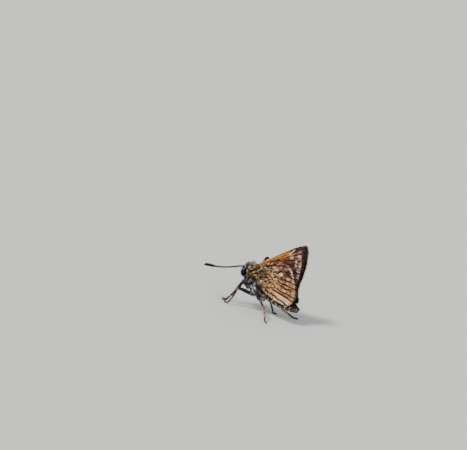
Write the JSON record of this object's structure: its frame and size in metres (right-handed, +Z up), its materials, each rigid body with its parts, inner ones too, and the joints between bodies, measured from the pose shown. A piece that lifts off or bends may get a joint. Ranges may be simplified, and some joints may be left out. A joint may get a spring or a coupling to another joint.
{
  "type": "grass skipper butterfly model",
  "caption": "Life-size still model of a grass skipper butterfly standing on its legs, wings closed over its back, clubbed antennae out.",
  "frame": {"origin": "on the floor, under the middle of the part's box", "axes": "+X from head to tail, +Y to the animal's right, +Z up; the body's midplane is parallel to XZ"},
  "size_m": [0.0244, 0.016, 0.0183],
  "materials": {
    "body_coat": "hairy grey and olive coat",
    "abdomen_coat": "dark rings with pale rear edges",
    "eye": "glossy, blue-black",
    "palp": "pale cream scales",
    "antenna": "black-brown, satin",
    "forewing": "scaled, tawny and brown",
    "hindwing": "scaled, ochre with dark veins",
    "leg": "scaled, dark brown"
  },
  "bodies": {
    "root": {"head": "body_coat", "thorax": "body_coat", "abdomen": "abdomen_coat", "eye_left": "eye", "eye_right": "eye", "palp_left": "palp", "palp_right": "palp", "antenna_left": "antenna", "antenna_right": "antenna", "forewing_left": "forewing", "forewing_right": "forewing", "hindwing_left": "hindwing", "hindwing_right": "hindwing", "foreleg_left": "leg", "foreleg_right": "leg", "midleg_left": "leg", "midleg_right": "leg", "hindleg_left": "leg", "hindleg_right": "leg"}
  },
  "joints": []
}
